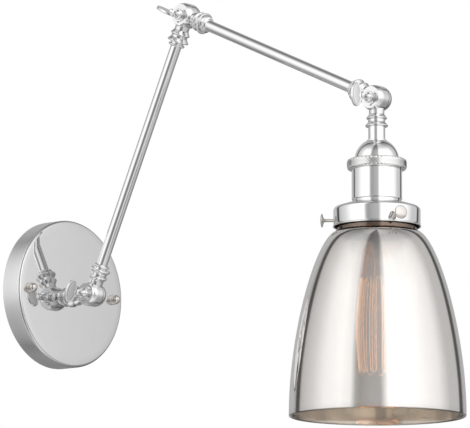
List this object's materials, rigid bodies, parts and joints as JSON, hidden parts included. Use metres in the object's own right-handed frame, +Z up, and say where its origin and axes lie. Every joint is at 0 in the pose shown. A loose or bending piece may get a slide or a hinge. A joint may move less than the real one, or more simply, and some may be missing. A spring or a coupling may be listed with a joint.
{
  "type": "swing arm wall sconce",
  "caption": "Wall lamp on a round back plate: jointed tube arms with ball knuckles and wing screws carry a bell-shaped smoked glass shade over a tubular filament bulb.",
  "frame": {"origin": "centre of the back plate's rear face, on the wall plane, at the middle of the bracket's screw pattern", "axes": "+Y into the wall, -Y out into the room, +Z up, +X along every knuckle axis"},
  "size_m": [0.127, 0.3866, 0.3279],
  "materials": {
    "chrome": "polished chrome plate",
    "warm_nickel": "polished warm nickel plate",
    "zinc_steel": "zinc plated steel",
    "brass": "plain turned brass",
    "green_screw": "green passivated steel",
    "black_insulation": "black wire insulation",
    "white_insulation": "white wire insulation",
    "green_insulation": "green wire insulation",
    "clear_insulation": "fixture wire insulation",
    "connector": "orange twist-on connector",
    "fibre": "hard fibre washer",
    "porcelain": "glazed white porcelain",
    "smoked_glass": "plated smoke glass",
    "bulb_glass": "clear tinted glass",
    "stem_glass": "clear glass",
    "black_glass": "black vitrified insulator",
    "solder": "soft solder",
    "bright_wire": "nickel wire",
    "filament": "warm filament thread"
  },
  "bodies": {
    "wall_plate": {"wall_bracket": "zinc_steel", "ground_screw": "green_screw", "bracket_studs": "zinc_steel", "stud_nuts": "zinc_steel", "back_plate": "chrome", "cap_nuts": "warm_nickel", "base_nipple": "brass", "nipple_washer": "zinc_steel", "nipple_locknut": "brass", "lead_hot": "black_insulation", "lead_neutral": "white_insulation", "lead_ground": "green_insulation", "wire_nuts": "connector", "base_knuckle": "chrome", "base_friction_washer": "fibre"},
    "lower_arm": {"base_tab_washer": "chrome", "lower_arm_root": "chrome", "lower_arm_tube": "chrome", "lower_arm_rings": "chrome", "lower_arm_tip": "chrome", "lower_arm_wires": "clear_insulation", "middle_tab_washer": "chrome"},
    "upper_arm": {"middle_friction_washer": "fibre", "upper_arm_root": "chrome", "upper_arm_tube": "chrome", "upper_arm_rings": "chrome", "upper_arm_tip": "chrome", "upper_arm_wires": "clear_insulation", "end_friction_washer": "fibre"},
    "head": {"end_tab_washer": "chrome", "head_knuckle": "chrome", "head_stem": "chrome", "socket_cap": "chrome", "cap_locknut": "brass", "socket_ring": "chrome", "socket_shell": "chrome", "socket_body": "porcelain", "terminal_screws": "brass", "screw_shell": "brass", "centre_contact": "brass", "head_wires": "clear_insulation", "shade_gallery": "chrome", "gallery_ring": "brass", "glass_shade": "smoked_glass"},
    "base_screw": {"base_thumb_screw": "chrome"},
    "middle_screw": {"middle_thumb_screw": "chrome"},
    "end_screw": {"end_thumb_screw": "chrome"},
    "front_gallery_screw": {"gallery_screw_front": "warm_nickel"},
    "side_gallery_screw": {"gallery_screw_side": "warm_nickel"},
    "wall_gallery_screw": {"gallery_screw_wall": "warm_nickel"},
    "bulb": {"bulb_cap": "brass", "bulb_insulator": "black_glass", "bulb_contact": "solder", "bulb_glass": "bulb_glass", "bulb_stem": "stem_glass", "bulb_leads": "bright_wire", "bulb_hooks": "bright_wire", "filament": "filament"}
  },
  "joints": [
    {"name": "base_pivot", "type": "hinge", "parent": "wall_plate", "child": "lower_arm", "pos_m": [0, -0.0394, -0.0022], "axis": [1, 0, 0], "range_deg": [-22, 110]},
    {"name": "middle_pivot", "type": "hinge", "parent": "lower_arm", "child": "upper_arm", "pos_m": [0, -0.13641, 0.20303], "axis": [1, 0, 0], "range_deg": [-89, 15]},
    {"name": "head_pivot", "type": "hinge", "parent": "upper_arm", "child": "head", "pos_m": [0, -0.32311, 0.11597], "axis": [1, 0, 0], "range_deg": [-90, 30]},
    {"name": "base_screw_turn", "type": "hinge", "parent": "wall_plate", "child": "base_screw", "pos_m": [0, -0.0394, -0.0022], "axis": [-1, 0, 0], "range_deg": [0, 360]},
    {"name": "middle_screw_turn", "type": "hinge", "parent": "upper_arm", "child": "middle_screw", "pos_m": [0, -0.13641, 0.20303], "axis": [-1, 0, 0], "range_deg": [0, 360]},
    {"name": "end_screw_turn", "type": "hinge", "parent": "upper_arm", "child": "end_screw", "pos_m": [0, -0.32311, 0.11597], "axis": [-1, 0, 0], "range_deg": [0, 360]},
    {"name": "front_gallery_screw_travel", "type": "slide", "parent": "head", "child": "front_gallery_screw", "axis": [-0.4321, -0.9018, 0], "range_m": [0, 0.003]},
    {"name": "side_gallery_screw_travel", "type": "slide", "parent": "head", "child": "side_gallery_screw", "axis": [0.9971, 0.0767, 0], "range_m": [0, 0.003]},
    {"name": "wall_gallery_screw_travel", "type": "slide", "parent": "head", "child": "wall_gallery_screw", "axis": [-0.565, 0.8251, 0], "range_m": [0, 0.003]},
    {"name": "bulb_turn", "type": "hinge", "parent": "head", "child": "bulb", "pos_m": [0, -0.32311, 0.11597], "axis": [0, 0, -1], "range_deg": [0, 1080]}
  ]
}
